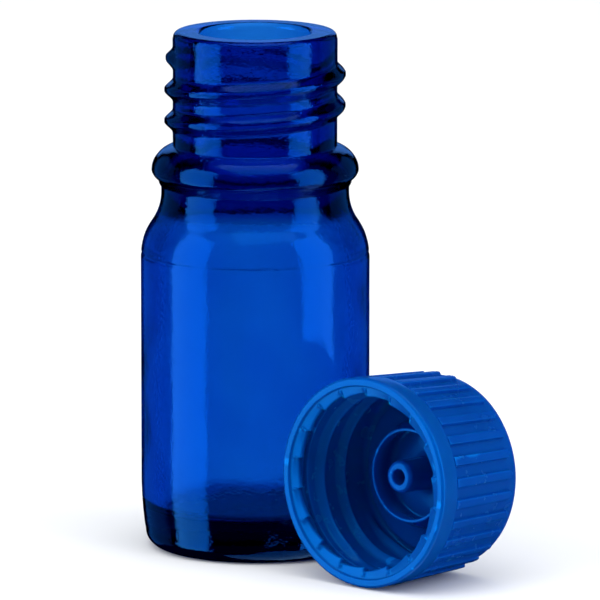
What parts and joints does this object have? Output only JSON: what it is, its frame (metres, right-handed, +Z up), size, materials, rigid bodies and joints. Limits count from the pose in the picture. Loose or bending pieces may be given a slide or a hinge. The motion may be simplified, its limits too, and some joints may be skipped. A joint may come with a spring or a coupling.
{
  "type": "prescription vial",
  "caption": "Small cobalt-blue glass dropper vial with threaded neck, and its ribbed screw cap with tamper ring and dropper insert lying beside it.",
  "frame": {"origin": "middle of the footprint of the vial and the lying cap, on the surface they stand on", "axes": "+Z up along the vial; the cap lies to the +X, -Y side of it with its open mouth towards -X, -Y"},
  "size_m": [0.0356, 0.0378, 0.05],
  "materials": {
    "vial_glass": "clear cobalt-blue glass, polished",
    "cap_plastic": "satin moulded polypropylene",
    "insert_plastic": "satin moulded polyethylene"
  },
  "bodies": {
    "vial": {"vial_body": "vial_glass"},
    "ring": {"tamper_ring": "cap_plastic"},
    "insert": {"dropper_insert": "insert_plastic"},
    "cap": {"cap_shell": "cap_plastic"}
  },
  "joints": [
    {"name": "cap_carry", "type": "hinge", "parent": "vial", "child": "ring", "pos_m": [-0.00735, -0.01903, 0.03737], "axis": [-0.8914, 0.2734, -0.3614], "range_deg": [0, 258.28]},
    {"name": "cap_lift", "type": "slide", "parent": "ring", "child": "insert", "axis": [0.6554, 0.7539, -0.0459], "range_m": [0, 0.009]},
    {"name": "cap_turn", "type": "hinge", "parent": "insert", "child": "cap", "pos_m": [0.00721, -0.008, 0.00981], "axis": [0.6554, 0.7539, -0.0459], "range_deg": [0, 1080]}
  ],
  "couplings": [
    {"joint": "cap_lift", "follows": "cap_turn", "m_per_rad": 0.00047746}
  ]
}
